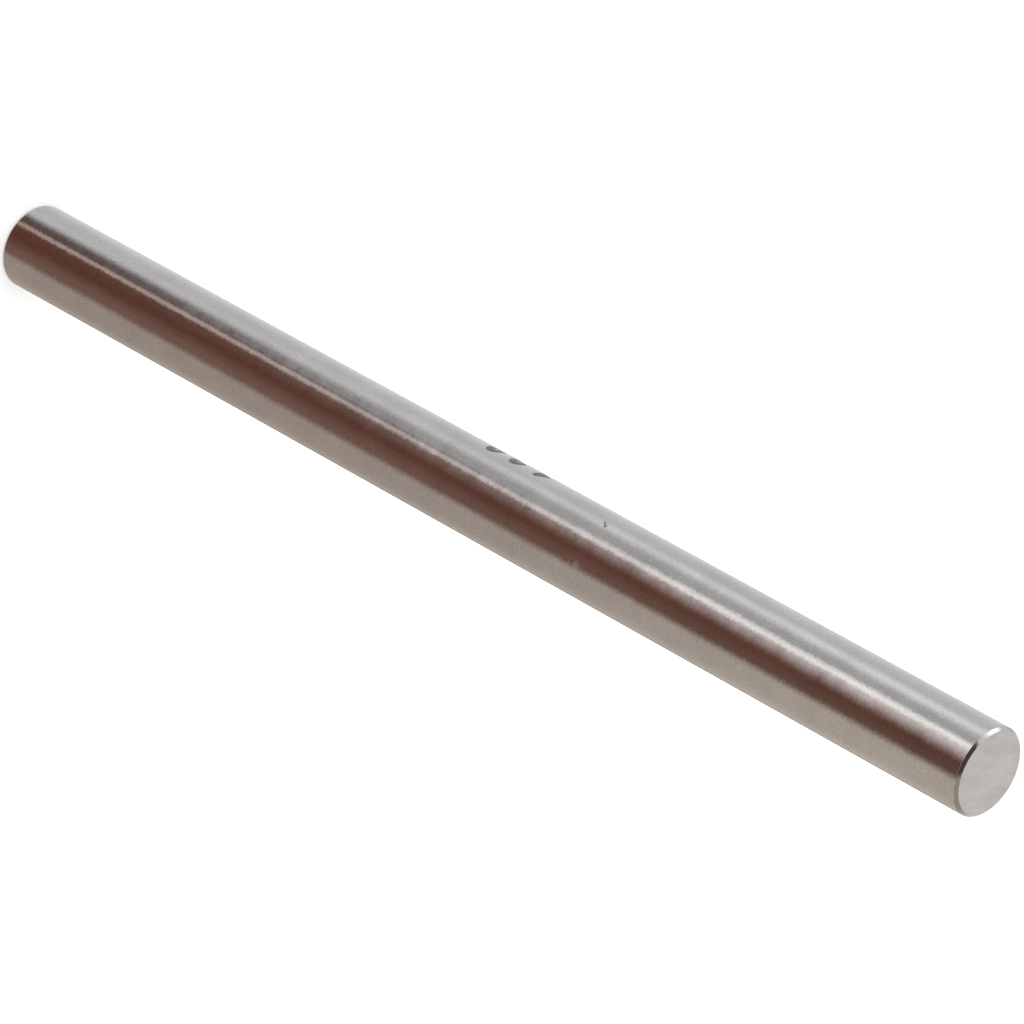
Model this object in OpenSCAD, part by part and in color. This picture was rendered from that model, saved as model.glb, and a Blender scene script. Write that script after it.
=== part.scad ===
// Plain pin of a plug gauge, in millimetres.
// It is one ground steel cylinder with a small edge break at each end.
// The pin stands on its end: its axis is Z, and the lower end face lies at Z = 0.

/* [Gauging surface] */
// Diameter of the ground cylinder
pin_d = 3.454; // [1:0.001:20]
// Length over the two end faces
pin_l = 50.8; // [20:0.1:100]

/* [Edge break] */
// Length of each edge break along the axis
break_l = 0.12; // [0.04:0.01:0.2]
// Slope of each edge break, measured from the axis
break_angle = 45; // [30:1:60]

/* [Hidden] */

pin_r = pin_d / 2;
// Radius of the flat end face inside its edge break
face_r = pin_r - break_l * tan(break_angle);
// Steps round the pin
round_fn = 96;

// Half section of the pin, from the axis outwards: X is the radius and Y runs along the axis
module pin_section() {
    polygon([
        [0, 0],
        [face_r, 0],
        [pin_r, break_l],
        [pin_r, pin_l - break_l],
        [face_r, pin_l],
        [0, pin_l]
    ]);
}

// The pin itself, turned and ground from one bar
module gauge_pin() {
    color([0.66, 0.65, 0.64])
        rotate_extrude($fn = round_fn)
            pin_section();
}

gauge_pin();
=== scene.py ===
"""A gauge pin of ground steel, standing on its end on a plain pale floor.

A Geometry Nodes tree turns the pin from its half section and etches the size figures into its side.
"""

import math

import bpy
from mathutils import Matrix, Vector


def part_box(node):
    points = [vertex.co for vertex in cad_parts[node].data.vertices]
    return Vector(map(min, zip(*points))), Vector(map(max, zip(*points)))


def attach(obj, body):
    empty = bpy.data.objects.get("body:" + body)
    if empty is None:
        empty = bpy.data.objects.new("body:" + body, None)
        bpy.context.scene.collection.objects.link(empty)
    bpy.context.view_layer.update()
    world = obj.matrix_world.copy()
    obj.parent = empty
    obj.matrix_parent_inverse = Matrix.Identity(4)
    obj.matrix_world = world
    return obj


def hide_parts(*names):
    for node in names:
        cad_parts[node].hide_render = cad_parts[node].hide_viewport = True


bl_info = {
    "name": "Gauge Pin",
    "version": (1, 0, 0),
    "blender": (4, 5, 0),
    "location": "3D View > Sidebar > Gauge Pin",
    "description": "Makes a ground steel gauge pin and the plain stage it stands on",
    "category": "Add Mesh",
}

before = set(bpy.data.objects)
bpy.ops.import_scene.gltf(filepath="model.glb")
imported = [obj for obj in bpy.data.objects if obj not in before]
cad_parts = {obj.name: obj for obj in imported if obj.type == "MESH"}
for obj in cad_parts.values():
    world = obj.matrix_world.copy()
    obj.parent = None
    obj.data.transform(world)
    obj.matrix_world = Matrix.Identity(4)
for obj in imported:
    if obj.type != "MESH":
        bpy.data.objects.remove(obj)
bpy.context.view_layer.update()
PIN_LOW, PIN_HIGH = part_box("gauge_pin")

MM = 0.001
DEGREE = math.pi / 180


# Node trees written as expressions


class Wire:
    """One output of a node. Arithmetic on it adds Math nodes to its graph."""

    def __init__(self, graph, socket):
        self.graph = graph
        self.socket = socket

    def math(self, operation, *values):
        """A Math node, with this wire as its first value."""
        inputs = dict(enumerate((self, *values)))
        return self.graph.node("ShaderNodeMath", {"operation": operation}, inputs)

    def __add__(self, other):
        return self.math("ADD", other)

    __radd__ = __add__

    def __sub__(self, other):
        return self.math("SUBTRACT", other)

    def __rsub__(self, other):
        return self.math("MULTIPLY_ADD", -1.0, other)

    def __mul__(self, other):
        return self.math("MULTIPLY", other)

    __rmul__ = __mul__

    def __truediv__(self, other):
        return self.math("DIVIDE", other)

    def __rtruediv__(self, other):
        return self.graph.node("ShaderNodeMath", {"operation": "DIVIDE"}, {0: other, 1: self})


class Graph:
    """A node tree with one method that adds a node, and a few short forms of it."""

    def __init__(self, tree):
        self.tree = tree
        tree.nodes.clear()

    def node(self, kind, settings=None, inputs=None, output=0):
        """Adds a node. Its settings come first, then a value or a wire for each input socket."""
        made = self.tree.nodes.new(kind)
        for name, value in (settings or {}).items():
            setattr(made, name, value)
        for key, value in (inputs or {}).items():
            if isinstance(value, Wire):
                self.tree.links.new(value.socket, made.inputs[key])
            else:
                made.inputs[key].default_value = value
        return Wire(self, made.outputs[output]) if made.outputs else None

    def range(self, value, low, high, at_low=0.0, at_high=1.0, kind="SMOOTHSTEP"):
        """Maps a value from low..high to at_low..at_high, and holds it outside."""
        settings = {"interpolation_type": kind, "clamp": True}
        return self.node("ShaderNodeMapRange", settings, {0: value, 1: low, 2: high, 3: at_low, 4: at_high})

    def mix(self, factor, first, second):
        """Mixes two colours, each of them a wire or three numbers."""
        first, second = (tint if isinstance(tint, Wire) else rgba(tint) for tint in (first, second))
        return self.node("ShaderNodeMix", {"data_type": "RGBA"}, {0: factor, 6: first, 7: second}, output=2)

    def split(self, vector):
        """The three numbers of a vector."""
        x = self.node("ShaderNodeSeparateXYZ", None, {0: vector})
        outputs = x.socket.node.outputs
        return x, Wire(self, outputs[1]), Wire(self, outputs[2])

    def join(self, x, y, z):
        """A vector from three numbers."""
        return self.node("ShaderNodeCombineXYZ", None, {0: x, 1: y, 2: z})

    def noise(self, vector, detail=2.0, roughness=0.5):
        """Noise between 0 and 1, in cells one wide."""
        inputs = {"Vector": vector, "Scale": 1.0, "Detail": detail, "Roughness": roughness}
        return self.node("ShaderNodeTexNoise", None, inputs, output="Fac")


def rgba(colour):
    """A colour's three numbers, with full opacity."""
    return (*colour, 1.0)


# Sizes and colours that a user would change


class PinSizes(bpy.types.PropertyGroup):
    """Sizes of the pin and of the figures on its side."""

    length: bpy.props.FloatProperty(
        name="Length", description="Length over the two end faces", default=PIN_HIGH[2] - PIN_LOW[2],
        min=0.005, unit="LENGTH", precision=5)
    diameter: bpy.props.FloatProperty(
        name="Diameter", description="Diameter of the ground side", default=PIN_HIGH[0] - PIN_LOW[0],
        min=0.001, unit="LENGTH", precision=6)
    break_length: bpy.props.FloatProperty(
        name="Edge Break", description="Length of each edge break along the axis", default=0.12 * MM,
        min=0.0, unit="LENGTH", precision=6)
    break_angle: bpy.props.FloatProperty(
        name="Edge Angle", description="Slope of each edge break, measured from the axis",
        default=45 * DEGREE, subtype="ANGLE")
    corner_radius: bpy.props.FloatProperty(
        name="Corner Radius", description="Rounding where an edge break meets the side or an end face",
        default=0.03 * MM, min=0.0, unit="LENGTH", precision=6)
    figures: bpy.props.StringProperty(
        name="Size Figures", default="136",
        description="Plain figures etched into the side: the diameter in thousandths of an inch")
    figure_width: bpy.props.FloatProperty(
        name="Figure Width", description="Width of a figure between the middles of its strokes",
        default=0.40 * MM, unit="LENGTH", precision=6)
    figure_height: bpy.props.FloatProperty(
        name="Figure Height", description="Height of a figure between the middles of its strokes",
        default=1.45 * MM, unit="LENGTH", precision=6)
    figure_pitch: bpy.props.FloatProperty(
        name="Figure Pitch", description="Distance from one figure to the next",
        default=1.20 * MM, unit="LENGTH", precision=6)
    figure_weight: bpy.props.FloatProperty(
        name="Figure Weight", description="Width of the strokes", default=0.30 * MM, min=0.0, unit="LENGTH",
        precision=6)
    etch_depth: bpy.props.FloatProperty(
        name="Etch Depth", description="Depth of the etched figures", default=0.008 * MM,
        min=0.0, unit="LENGTH", precision=6)
    figure_place: bpy.props.FloatProperty(
        name="Figure Place", description="Height of the middle of the figures above the middle of the pin",
        default=1.31 * MM, unit="LENGTH", precision=5)
    figure_bearing: bpy.props.FloatProperty(
        name="Figure Bearing", description="Bearing of the figures, clockwise from -Y as seen from above",
        default=88 * DEGREE, subtype="ANGLE")


class PinFinish(bpy.types.PropertyGroup):
    """Colours and finish of the steel."""

    steel: bpy.props.FloatVectorProperty(
        name="Steel", description="Colour of the bright ground steel", subtype="COLOR", size=3,
        default=(0.56, 0.555, 0.55), min=0.0, max=1.0)
    etched: bpy.props.FloatVectorProperty(
        name="Etched Steel", description="Colour of the etched figures", subtype="COLOR", size=3,
        default=(0.16, 0.15, 0.15), min=0.0, max=1.0)
    roughness: bpy.props.FloatProperty(
        name="Roughness", description="Roughness of the ground side", default=0.12, min=0.0, max=1.0)
    face_roughness: bpy.props.FloatProperty(
        name="Face Roughness", description="Roughness of the end faces", default=0.34, min=0.0, max=1.0)


class StageLook(bpy.types.PropertyGroup):
    """The camera and the floor."""

    lens: bpy.props.FloatProperty(
        name="Lens", description="Focal length for a 36 mm wide sensor", default=209.7, min=10.0,
        subtype="DISTANCE_CAMERA")
    distance: bpy.props.FloatProperty(
        name="Distance", description="Distance from the camera to the point it aims at", default=221.1 * MM,
        unit="LENGTH")
    elevation: bpy.props.FloatProperty(
        name="Elevation", description="Angle of the camera above the horizon", default=36.86 * DEGREE,
        subtype="ANGLE")
    roll: bpy.props.FloatProperty(
        name="Roll", description="Turn of the camera about its own line of sight", default=118.96 * DEGREE,
        subtype="ANGLE")
    aim_height: bpy.props.FloatProperty(
        name="Aim Height", description="Height on the pin that the camera aims at", default=27.2 * MM,
        unit="LENGTH")
    aim_side: bpy.props.FloatProperty(
        name="Aim Offset", description="How far beside the axis the camera aims", default=0.09 * MM,
        unit="LENGTH", precision=6)
    floor: bpy.props.FloatVectorProperty(
        name="Floor", description="Colour of the floor", subtype="COLOR", size=3,
        default=(0.8, 0.8, 0.8), min=0.0, max=1.0)


# The figures

# Degrees from one point of an arc to the next
ARC_STEP = 15


def arc(x, y, across, up, start, end):
    """Points on an ellipse about (x, y), from one angle in degrees to another."""
    steps = max(2, round(abs(end - start) / ARC_STEP))
    turns = [math.radians(start + (end - start) * step / steps) for step in range(steps + 1)]
    return [(x + across * math.cos(turn), y + up * math.sin(turn)) for turn in turns]


SIX = arc(0.5, 0.72, 0.5, 0.28, 10, 180) + arc(0.5, 0.28, 0.5, 0.28, 180, 540)
# Each figure's strokes, in a cell one wide and one high.
STROKES = {
    "0": [arc(0.5, 0.72, 0.5, 0.28, 0, 180) + arc(0.5, 0.28, 0.5, 0.28, 180, 360) + [(1.0, 0.72)]],
    "1": [[(-0.15, 0.78), (0.5, 1.0), (0.5, 0.0)]],
    "2": [arc(0.5, 0.74, 0.5, 0.26, 160, -20) + [(0.0, 0.0), (1.0, 0.0)]],
    "3": [arc(0.46, 0.76, 0.49, 0.24, 170, -90) + arc(0.45, 0.26, 0.42, 0.26, 90, -140)],
    "4": [[(0.75, 0.0), (0.75, 1.0), (0.0, 0.3), (1.1, 0.3)]],
    "5": [[(0.95, 1.0), (0.1, 1.0), (0.05, 0.56)] + arc(0.45, 0.3, 0.52, 0.3, 120, -150)],
    "6": [SIX],
    "7": [[(0.0, 1.0), (1.0, 1.0), (0.3, 0.0)]],
    "8": [arc(0.5, 0.76, 0.42, 0.24, -90, 270) + arc(0.5, 0.26, 0.5, 0.26, 90, 450)],
    "9": [[(1 - x, 1 - y) for x, y in SIX]],
}


def drawn_figures(sizes):
    """The middle lines of the figures as loose edges in the XY plane, centred on the origin."""
    width, height = sizes.figure_width, sizes.figure_height
    points, edges = [], []
    for place, figure in enumerate(sizes.figures):
        middle = (place - (len(sizes.figures) - 1) / 2) * sizes.figure_pitch
        for stroke in STROKES[figure]:
            first = len(points)
            edges += [(first + step, first + step + 1) for step in range(len(stroke) - 1)]
            points += [(middle + (x - 0.5) * width, (y - 0.5) * height, 0.0) for x, y in stroke]
    mesh = bpy.data.meshes.new("Drawn figures")
    mesh.from_pydata(points, edges, [])
    return bpy.data.objects.new("Drawn figures", mesh)


# The pin


def stepped(g, index, knots):
    """A value that runs straight from knot to knot, each an index and the value there."""
    total = knots[0][1]
    for (start, low), (end, high) in zip(knots, knots[1:]):
        if low is not high:
            total = g.range(index, start, end, kind="LINEAR") * (high - low) + total
    return total


class PinTree:
    """Geometry Nodes that turn the pin from its half section and etch the figures into its side.

    The surface is a grid, with a row for each point of the half section and a column for each step round
    the axis. Rows and columns are close together only where the figures are.
    """

    INPUTS = (
        ("Length", "Float"), ("Diameter", "Float"), ("Edge Break", "Float"), ("Edge Angle", "Float"),
        ("Corner Radius", "Float"), ("Drawn Figures", "Object"), ("Figure Weight", "Float"),
        ("Etch Depth", "Float"), ("Figure Place", "Float"), ("Figure Bearing", "Float"),
        ("Side Steel", "Material"), ("Face Steel", "Material"),
    )
    END_ROWS = 5
    FIGURE_ROWS = 240
    FIGURE_COLUMNS = 120
    PLAIN_COLUMNS = 100
    CORNER_STEPS = 4
    CORNER_MARGIN = 0.05 * MM
    ETCH_BLUR = 0.03 * MM
    WELD = 0.0001 * MM

    def __init__(self):
        self.tree = bpy.data.node_groups.new("Turned pin", "GeometryNodeTree")
        for name, kind in self.INPUTS:
            self.tree.interface.new_socket(name, in_out="INPUT", socket_type="NodeSocket" + kind)
        self.tree.interface.new_socket("Pin", in_out="OUTPUT", socket_type="NodeSocketGeometry")
        self.g = Graph(self.tree)
        sockets = self.g.node("NodeGroupInput").socket.node.outputs
        self.size = {name: Wire(self.g, sockets[name]) for name, kind in self.INPUTS}
        self.radius = self.size["Diameter"] / 2
        self.index = self.g.node("GeometryNodeInputIndex")
        self.g.node("NodeGroupOutput", None, {0: self.finished_pin(self.turned_surface())})

    def figure_lines(self):
        """The drawn figures, and how far the etch reaches along and round the pin from their middle."""
        g, size = self.g, self.size
        lines = g.node("GeometryNodeObjectInfo", None, {"Object": size["Drawn Figures"]}, output="Geometry")
        low = g.split(g.node("GeometryNodeBoundBox", None, {0: lines}, output="Min"))
        high = g.split(g.node("GeometryNodeBoundBox", None, {0: lines}, output="Max"))
        margin = size["Figure Weight"] / 2 + 3 * self.ETCH_BLUR
        return lines, high[0].math("MAXIMUM", low[0] * -1) + margin, high[1] + margin

    def half_section(self, reach):
        """The half section as a curve with rounded corners: X is the radius and Z runs along the axis."""
        g, size = self.g, self.size
        length, edge, margin = size["Length"], size["Edge Break"], self.CORNER_MARGIN
        face = self.radius - edge * size["Edge Angle"].math("TANGENT")
        middle = length / 2 + size["Figure Place"]
        first, last = self.END_ROWS, self.END_ROWS + self.FIGURE_ROWS
        rows = last + self.END_ROWS
        x = stepped(g, self.index, [
            (0, 0.0), (1, face - margin), (2, face), (3, self.radius), (rows - 3, self.radius),
            (rows - 2, face), (rows - 1, face - margin), (rows, 0.0)])
        z = stepped(g, self.index, [
            (2, 0.0), (3, edge), (4, edge + margin), (first, middle - reach), (last, middle + reach),
            (rows - 4, length - edge - margin), (rows - 3, length - edge), (rows - 2, length)])
        line = g.node("GeometryNodeMeshLine", None, {"Count": rows + 1})
        line = g.node("GeometryNodeSetPosition", None, {0: line, "Position": g.join(x, 0.0, z)})
        curve = g.node("GeometryNodeMeshToCurve", None, {0: line})
        # Points 2 and 3, counted from 0 at each end, are the two corners of an edge break.
        from_middle = (self.index - rows / 2).math("ABSOLUTE")
        at_corner = from_middle.math("COMPARE", rows / 2 - 2.5, 0.6)
        return g.node("GeometryNodeFilletCurve", {"mode": "POLY"}, {
            0: curve, "Count": self.CORNER_STEPS, "Radius": at_corner * size["Corner Radius"]})

    def turned_surface(self):
        """The half section turned round the axis, with the figures sunk into it."""
        g, size = self.g, self.size
        lines, reach_along, reach_round = self.figure_lines()
        section = self.half_section(reach_along)
        rows = g.node("GeometryNodeAttributeDomainSize", {"component": "CURVE"}, {
            0: section}, output="Point Count")
        columns = self.FIGURE_COLUMNS + self.PLAIN_COLUMNS
        grid = g.node("GeometryNodeMeshGrid", None, {"Vertices X": columns + 1, "Vertices Y": rows})
        column = (self.index / rows).math("FLOOR")
        row = self.index - column * rows
        sampled = g.node("GeometryNodeSampleIndex", {"data_type": "FLOAT_VECTOR"}, {
            0: section, "Value": g.node("GeometryNodeInputPosition"), "Index": row})
        radius, _, height = g.split(sampled)

        half_sector = reach_round / self.radius
        turn = stepped(g, column, [
            (0, half_sector * -1), (self.FIGURE_COLUMNS, half_sector),
            (columns, half_sector * -1 + 2 * math.pi)])
        along = size["Length"] / 2 + size["Figure Place"] - height
        unrolled = g.join(along, turn * self.radius * -1, 0.0)
        distance = g.node("GeometryNodeProximity", {"target_element": "EDGES"}, {
            "Geometry": lines, "Sample Position": unrolled}, output="Distance")
        from_edge = distance - size["Figure Weight"] / 2
        etched = g.range(from_edge, self.ETCH_BLUR / -2, self.ETCH_BLUR / 2, 1.0, 0.0)
        radius = radius - etched * size["Etch Depth"]

        bearing = turn + size["Figure Bearing"]
        place = g.join(radius * bearing.math("SINE") * -1, radius * bearing.math("COSINE") * -1, height)
        surface = g.node("GeometryNodeStoreNamedAttribute", None, {
            0: grid, "Name": "etched", "Value": etched})
        return g.node("GeometryNodeSetPosition", None, {0: surface, "Position": place})

    def finished_pin(self, surface):
        """The surface with its faces outwards, welded shut, smooth, and with its two finishes."""
        g, size = self.g, self.size
        pin = g.node("GeometryNodeFlipFaces", None, {0: surface})
        pin = g.node("GeometryNodeMergeByDistance", None, {0: pin, "Distance": self.WELD})
        pin = g.node("GeometryNodeSetShadeSmooth", None, {0: pin})
        pin = g.node("GeometryNodeRealizeInstances", None, {0: pin})
        height = g.split(g.node("GeometryNodeInputPosition"))[2]
        from_middle = (height - size["Length"] / 2).math("ABSOLUTE")
        on_face = from_middle.math("GREATER_THAN", size["Length"] / 2 - self.WELD)
        pin = g.node("GeometryNodeSetMaterial", None, {0: pin, "Material": size["Side Steel"]})
        return g.node("GeometryNodeSetMaterial", None, {
            0: pin, "Selection": on_face, "Material": size["Face Steel"]})


def applied_nodes(name, tree, values):
    """A plain mesh object made by a Geometry Nodes tree with its inputs set by name."""
    maker = bpy.data.objects.new(name, bpy.data.meshes.new(name))
    bpy.context.scene.collection.objects.link(maker)
    modifier = maker.modifiers.new("Nodes", "NODES")
    modifier.node_group = tree
    for item in tree.interface.items_tree:
        if item.in_out == "INPUT":
            modifier[item.identifier] = values[item.name]
    evaluated = maker.evaluated_get(bpy.context.evaluated_depsgraph_get())
    mesh = bpy.data.meshes.new_from_object(evaluated)
    if mesh.materials[0] is None:
        mesh.materials.pop(index=0)
    maker.modifiers.remove(modifier)
    maker.data = mesh
    mesh.name = name
    return maker


# Steel


def new_material(name):
    """An empty material and the graph of its nodes."""
    material = bpy.data.materials.new(name)
    material.use_nodes = True
    return material, Graph(material.node_tree)


def per_mm(g, vector, x, y, z):
    """A vector in metres, turned into cells of noise: so many in a millimetre along each axis."""
    return g.node("ShaderNodeVectorMath", {"operation": "MULTIPLY"}, {
        0: vector, 1: (x / MM, y / MM, z / MM)})


def toned(g, tone, colour, tones):
    """A colour between two tones of itself, each a share of it."""
    darkest, brightest = ([share * part for part in colour] for share in tones)
    return g.mix(tone, darkest, brightest)


def relief(g, height, depth, normal=None):
    """A bump from a height and the real depth of that height, on top of another normal."""
    inputs = {"Strength": 1.0, "Distance": depth, "Height": height}
    if normal:
        inputs["Normal"] = normal
    return g.node("ShaderNodeBump", None, inputs)


def tipped_round(g, slope):
    """The surface's normal, tipped round the pin's axis by a slope."""
    flat = g.node("ShaderNodeNewGeometry", output="Normal")
    to_world = {"vector_type": "VECTOR", "convert_from": "OBJECT", "convert_to": "WORLD"}
    axis = g.node("ShaderNodeVectorTransform", to_world, {0: (0.0, 0.0, 1.0)})
    round_pin = g.node("ShaderNodeVectorMath", {"operation": "CROSS_PRODUCT"}, {0: axis, 1: flat})
    turned = {"operation": "MULTIPLY_ADD"}
    tipped = g.node("ShaderNodeVectorMath", turned, {0: round_pin, 1: g.join(slope, slope, slope), 2: flat})
    return g.node("ShaderNodeVectorMath", {"operation": "NORMALIZE"}, {0: tipped})


def bare_metal(g, colour, roughness, normal):
    """A bare metal surface with its colour, roughness and fine relief."""
    surface = g.node("ShaderNodeBsdfPrincipled", None, {
        "Base Color": colour, "Metallic": 1.0, "Roughness": roughness, "Normal": normal})
    g.node("ShaderNodeOutputMaterial", None, {"Surface": surface})


def on_side(height, bearing):
    """The point of the pin's side at a height in millimetres and a bearing in degrees clockwise from -Y."""
    radius = PIN_HIGH[0]
    turn = bearing * DEGREE
    return (-radius * math.sin(turn), -radius * math.cos(turn), height * MM)


def spot(g, here, height, bearing, size, strength):
    """A small round spot on the side: its strength in the middle, and 0 past its edge."""
    distance = g.node("ShaderNodeVectorMath", {"operation": "DISTANCE"}, {
        0: here, 1: on_side(height, bearing)}, output="Value")
    return g.range(distance, 0.25 * size * MM, 0.5 * size * MM, strength, 0.0)


# Small blemishes on the side: height on the pin in mm, bearing in degrees, size across in mm, and strength.
CURLED_FLECK = (
    (31.96, 46.4, 0.10, 0.3), (32.04, 44.9, 0.13, 0.7), (32.10, 43.5, 0.13, 0.65), (32.15, 41.9, 0.12, 0.6),
    (32.21, 40.5, 0.13, 0.65), (32.24, 39.2, 0.13, 0.7), (32.21, 38.3, 0.11, 0.5), (32.13, 39.6, 0.10, 0.3),
)
FAINT_DASH = ((15.34, 41.8, 0.10, 0.3), (15.45, 41.9, 0.08, 0.15), (15.57, 42.0, 0.11, 0.35))
DULL_SPOTS = ((32.1, -21.5, 0.42, 1.0),)


# Darkest and brightest tone of the steel, as shares of its colour
SIDE_TONES = (0.87, 1.13)
FACE_TONES = (0.90, 1.07)
# How far the fine ripples tip the side's normal, and how deep its long waves are
RIPPLE_SLOPE = 0.09
WAVE_DEPTH = 0.01 * MM
MARKS_DEPTH = 0.003 * MM
# How much a duller finish adds to the side's roughness
DULLER = 0.25
# Turn of the grinding marks on the end faces, from the Y axis towards -X
MARKS_TURN = 18.7 * DEGREE


def side_steel(finish):
    """The ground side: grain, faint ripples and waves, small blemishes, and the dark etched figures."""
    material, g = new_material("Ground side")
    here = g.node("ShaderNodeTexCoord", output="Object")
    grain = g.noise(per_mm(g, here, 9, 9, 9), detail=2.0, roughness=0.7)
    ripple = g.noise(per_mm(g, here, 14, 14, 11), detail=1.0, roughness=0.5)
    waves = g.noise(per_mm(g, here, 0.5, 0.5, 0.7), detail=2.0)
    clouds = g.noise(per_mm(g, here, 0.9, 0.9, 0.6), detail=3.0)
    etched = g.node("ShaderNodeAttribute", {"attribute_name": "etched"}, output="Fac")

    flecks = sum(spot(g, here, *fleck) for fleck in CURLED_FLECK + FAINT_DASH)
    dull = sum(spot(g, here, *patch) for patch in DULL_SPOTS)
    tone = g.range(clouds * 0.35 + grain * 0.65, 0.32, 0.68, kind="LINEAR")
    steel = toned(g, tone, finish.steel, SIDE_TONES)
    colour = g.mix(etched, steel, finish.etched)
    colour = g.mix(g.range(flecks, 0.0, 0.9, 0.0, 0.9), colour, finish.etched)
    roughness = (etched + dull) * DULLER + finish.roughness
    rippled = tipped_round(g, (ripple - 0.5) * RIPPLE_SLOPE)
    normal = relief(g, waves, WAVE_DEPTH, rippled)
    bare_metal(g, colour, roughness, normal)
    return material


def face_steel(finish):
    """The end faces: clouded, with grinding marks straight across, and duller than the side."""
    material, g = new_material("Ground face")
    here = g.node("ShaderNodeTexCoord", output="Object")
    about_axis = {"rotation_type": "Z_AXIS"}
    along_marks = g.node("ShaderNodeVectorRotate", about_axis, {"Vector": here, "Angle": -MARKS_TURN})
    clouds = g.noise(per_mm(g, along_marks, 1.8, 0.9, 1.0), detail=2.0)
    marks = g.noise(per_mm(g, along_marks, 8, 1.2, 1.0), detail=3.0)
    tone = g.range(clouds * 0.5 + marks * 0.5, 0.38, 0.62, kind="LINEAR")
    colour = toned(g, tone, finish.steel, FACE_TONES)
    roughness = g.range(marks, 0.3, 0.7, -0.05, 0.05) + finish.face_roughness
    bare_metal(g, colour, roughness, relief(g, marks, MARKS_DEPTH))
    return material


class GAUGEPIN_OT_pin(bpy.types.Operator):
    """Make the ground steel pin with its etched size figures"""

    bl_idname = "gaugepin.pin"
    bl_label = "Ground Pin"

    def execute(self, context):
        sizes = context.scene.gauge_pin_sizes
        finish = context.scene.gauge_pin_finish
        figures = drawn_figures(sizes)
        pin = applied_nodes("ground_pin", PinTree().tree, {
            "Length": sizes.length, "Diameter": sizes.diameter, "Edge Break": sizes.break_length,
            "Edge Angle": sizes.break_angle, "Corner Radius": sizes.corner_radius, "Drawn Figures": figures,
            "Figure Weight": sizes.figure_weight, "Etch Depth": sizes.etch_depth,
            "Figure Place": sizes.figure_place, "Figure Bearing": sizes.figure_bearing,
            "Side Steel": side_steel(finish), "Face Steel": face_steel(finish)})
        bpy.data.objects.remove(figures)
        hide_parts("gauge_pin")
        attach(pin, "root")
        return {"FINISHED"}


# The stage

WHITE = (1.0, 1.0, 1.0)
FLOOR_HALF_WIDTH = 3.0
# Light that the floor adds for the camera, so that it is white wherever nothing shades it
FLOOR_GLOW = 0.3
# Colour of the surround straight behind the pin, as the camera sees it
BEHIND = (0.17, 0.13, 0.10)


def camera(look):
    """The camera, turned about its line of sight so that the pin lies slanting across the picture."""
    data = bpy.data.cameras.new("Camera")
    data.sensor_width = 36.0
    data.lens = look.lens
    data.clip_start = 0.01
    data.clip_end = 10.0
    made = bpy.data.objects.new("Camera", data)
    back = Vector((0.0, -math.cos(look.elevation), math.sin(look.elevation)))
    upright = back.to_track_quat("Z", "Y")
    made.rotation_mode = "QUATERNION"
    made.rotation_quaternion = upright @ Matrix.Rotation(look.roll, 3, "Z").to_quaternion()
    made.location = Vector((look.aim_side, 0.0, look.aim_height)) + back * look.distance
    bpy.context.scene.collection.objects.link(made)
    bpy.context.scene.camera = made


def light_path(g, *names):
    """What kind of ray sees the surface: a wire for each of the names, 1 where it is such a ray."""
    outputs = g.node("ShaderNodeLightPath").socket.node.outputs
    return [Wire(g, outputs[name]) for name in names]


def pale_floor(look):
    """A plain floor that shows the pin's shadow, and is white to the camera where nothing shades it."""
    material, g = new_material("Pale floor")
    camera_ray, glossy_ray, through_glass = light_path(
        g, "Is Camera Ray", "Is Glossy Ray", "Is Transmission Ray")
    seen = camera_ray + glossy_ray + through_glass
    lit = g.node("ShaderNodeBsdfDiffuse", None, {"Color": rgba(look.floor)})
    glow = g.node("ShaderNodeEmission", None, {"Color": rgba(WHITE), "Strength": seen * FLOOR_GLOW})
    both = g.node("ShaderNodeAddShader", None, {0: lit, 1: glow})
    g.node("ShaderNodeOutputMaterial", None, {"Surface": both})
    far = FLOOR_HALF_WIDTH
    mesh = bpy.data.meshes.new("floor")
    mesh.from_pydata([(-far, -far, 0), (far, -far, 0), (far, far, 0), (-far, far, 0)], [], [(0, 1, 2, 3)])
    mesh.materials.append(material)
    floor = bpy.data.objects.new("floor", mesh)
    floor.location.z = PIN_LOW[2]
    floor.visible_glossy = False
    bpy.context.scene.collection.objects.link(floor)


def soft_lamp(name, place, target, side, power):
    """A square soft lamp that points at a target."""
    data = bpy.data.lights.new(name, "AREA")
    data.shape = "SQUARE"
    data.size = side
    data.energy = power
    lamp = bpy.data.objects.new(name, data)
    lamp.location = place
    lamp.rotation_mode = "QUATERNION"
    lamp.rotation_quaternion = (Vector(place) - Vector(target)).to_track_quat("Z", "Y")
    lamp.visible_glossy = False
    bpy.context.scene.collection.objects.link(lamp)


def side_by_side(g, turn, colour, panels):
    """Soft panels side by side. Each fades in from one bearing to another and covers what lies beyond."""
    for start, end, tint in panels:
        colour = g.mix(g.range(turn, start, end), colour, tint)
    return colour


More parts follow.
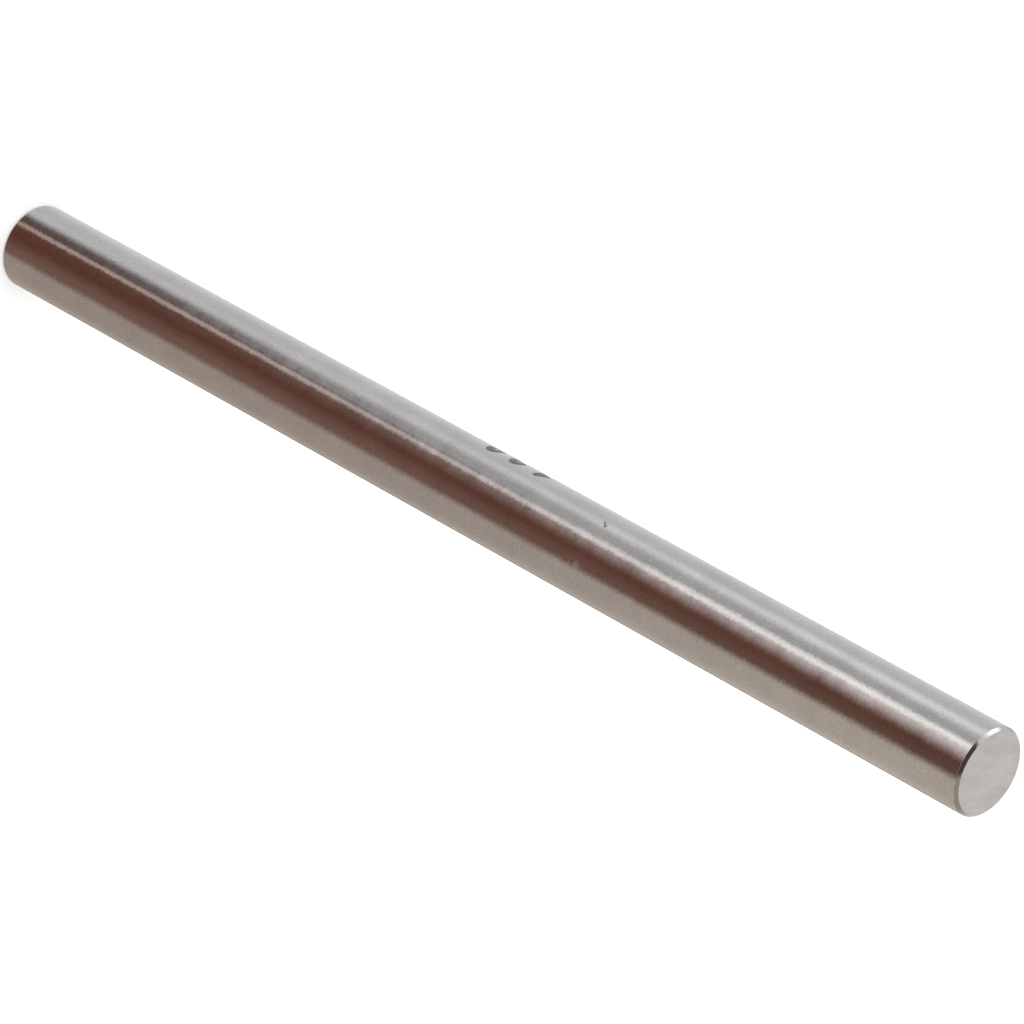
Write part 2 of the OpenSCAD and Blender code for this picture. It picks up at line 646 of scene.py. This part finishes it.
def lower_panels(g, turn, elevation):
    """The panels that the side mirrors to the camera, at its foot the lowest and at its top the highest."""
    lower = g.range(elevation, -41.6, -37.0)
    middle = g.range(elevation, -37.6, -34.8, kind="LINEAR")
    upper = g.range(elevation, -34.8, -32.4, kind="LINEAR")
    rise = g.range(elevation, -39.0, -32.5, kind="LINEAR")

    card_end = g.mix(rise, (0.54, 0.46, 0.39), (0.68, 0.60, 0.52))
    card = g.mix(rise, (0.48, 0.40, 0.35), (0.64, 0.56, 0.49))
    board_edge = g.mix(rise, (0.26, 0.145, 0.115), (0.17, 0.09, 0.065))
    board = (0.16, 0.06, 0.04)
    strip = g.mix(middle, g.mix(lower, (0.62, 0.47, 0.41), (0.67, 0.59, 0.57)), (1.50, 1.45, 1.42))
    gap = g.mix(middle, g.mix(lower, (0.12, 0.072, 0.062), (0.25, 0.22, 0.21)), (0.60, 0.61, 0.62))
    lamp = g.mix(rise, (0.80, 0.78, 0.79), (1.10, 1.11, 1.15))
    wall, far_wall = (0.73, 0.73, 0.76), (0.84, 0.83, 0.83)

    colour = side_by_side(g, turn, BEHIND, [
        (-176, -150, card_end), (-150, -110, card), (rise * 4 - 66, rise * 8 - 46, board_edge),
        (-42, 0, board)])
    glow = g.range(turn, -8 - upper * 8, 30) * (lower * 0.06 + middle * 0.41 + upper * 0.47)
    colour = g.mix(glow, colour, (1.2, 1.1, 1.07))
    colour = side_by_side(g, turn, colour, [
        (24 - lower * 4, lower + 31, strip), (33 - middle * 4, 42 + middle * 15 - upper * 11, gap)])
    screen = g.range(turn, 52, 74) * (1 - lower) + g.range(turn, 40, 47) * lower
    colour = g.mix(screen, colour, (0.58, 0.565, 0.57))
    return side_by_side(g, turn, colour, [
        (60 - upper * 6, 82, lamp), (80, 104, wall), (100, 150, far_wall), (160, 180, BEHIND)])


def level_panels(g, turn):
    """The panels just below the horizon."""
    return side_by_side(g, turn, (0.80, 0.78, 0.76), [
        (-165, -112, (0.22, 0.18, 0.16)), (-108, -92, (1.15, 1.12, 1.10)), (-92, -80, (0.74, 0.70, 0.67)),
        (-66, -30, (0.20, 0.13, 0.11)), (-8, 28, (1.35, 1.30, 1.27)), (28, 46, (0.60, 0.60, 0.61)),
        (60, 78, (1.05, 1.06, 1.09)), (80, 104, (0.74, 0.75, 0.78)), (116, 140, (0.45, 0.44, 0.45)),
        (140, 158, (0.80, 0.78, 0.76))])


def upper_panels(g, turn, elevation):
    """The panels above the horizon, with a dark canopy and a softbox in them."""
    colour = side_by_side(g, turn, (0.95, 0.89, 0.85), [
        (-180, -120, (0.46, 0.39, 0.32)), (-80, 30, (0.60, 0.56, 0.54)), (40, 70, (0.93, 0.92, 0.91)),
        (95, 150, (0.80, 0.78, 0.78)), (150, 180, (0.95, 0.89, 0.85))])
    canopy = g.range(elevation, 24, 40) * g.range(turn, -64, -40) * g.range(turn, 50, 66, 1.0, 0.0)
    colour = g.mix(canopy, colour, (0.09, 0.07, 0.06))
    softbox = g.range(elevation, 15, 21) * g.range(elevation, 38, 46, 1.0, 0.0)
    softbox = softbox * g.range(turn, 72, 102) * g.range(turn, 115, 125, 1.0, 0.0)
    return g.mix(softbox, colour, (1.9, 1.9, 1.9))


def surround():
    """What the steel mirrors: soft panels all round it, told apart by bearing and height."""
    world = bpy.data.worlds.new("Surround")
    bpy.context.scene.world = world
    world.use_nodes = True
    g = Graph(world.node_tree)
    x, y, z = g.split(g.node("ShaderNodeTexCoord", output="Generated"))
    turn = (x * -1).math("ARCTAN2", y * -1) / DEGREE
    elevation = z.math("ARCSINE") / DEGREE
    colour = lower_panels(g, turn, elevation)
    colour = g.mix(g.range(elevation, -29.0, -20.0), colour, level_panels(g, turn))
    colour = g.mix(g.range(elevation, -6.0, 8.0), colour, upper_panels(g, turn, elevation))
    glossy_ray = light_path(g, "Is Glossy Ray")[0]
    colour = g.mix(glossy_ray, WHITE, colour)
    sky = g.node("ShaderNodeBackground", None, {"Color": colour, "Strength": 1.0})
    g.node("ShaderNodeOutputWorld", None, {"Surface": sky})
    world.cycles.sampling_method = "NONE"


class GAUGEPIN_OT_stage(bpy.types.Operator):
    """Make the plain pale floor, the soft light and the camera"""

    bl_idname = "gaugepin.stage"
    bl_label = "Stage"

    def execute(self, context):
        look = context.scene.gauge_pin_stage
        context.scene.view_settings.view_transform = "Standard"
        camera(look)
        pale_floor(look)
        surround()
        middle = (0.0, 0.0, PIN_HIGH[2] / 2)
        soft_lamp("Key lamp", (-0.15, -0.35, 0.7), middle, side=0.5, power=1.0)
        return {"FINISHED"}


class GAUGEPIN_PT_sidebar(bpy.types.Panel):
    """The sidebar panel that lists the sizes, the finish and the operators."""

    bl_idname = "GAUGEPIN_PT_sidebar"
    bl_label = "Gauge Pin"
    bl_space_type = "VIEW_3D"
    bl_region_type = "UI"
    bl_category = "Gauge Pin"

    def draw(self, context):
        for attribute in GROUPS:
            group = getattr(context.scene, attribute)
            box = self.layout.box()
            for name in group.bl_rna.properties.keys():
                if name not in ("rna_type", "name"):
                    box.prop(group, name)
        for operator in OPERATORS:
            self.layout.operator(operator.bl_idname)


OPERATORS = (GAUGEPIN_OT_pin, GAUGEPIN_OT_stage)
GROUPS = {"gauge_pin_sizes": PinSizes, "gauge_pin_finish": PinFinish, "gauge_pin_stage": StageLook}


def register():
    for item in (*GROUPS.values(), *OPERATORS, GAUGEPIN_PT_sidebar):
        bpy.utils.register_class(item)
    for name, group in GROUPS.items():
        setattr(bpy.types.Scene, name, bpy.props.PointerProperty(type=group))


def unregister():
    for name in GROUPS:
        delattr(bpy.types.Scene, name)
    for item in (GAUGEPIN_PT_sidebar, *OPERATORS, *GROUPS.values()):
        bpy.utils.unregister_class(item)


def main():
    register()
    bpy.ops.gaugepin.pin()
    bpy.ops.gaugepin.stage()


if __name__ == "__main__":
    main()
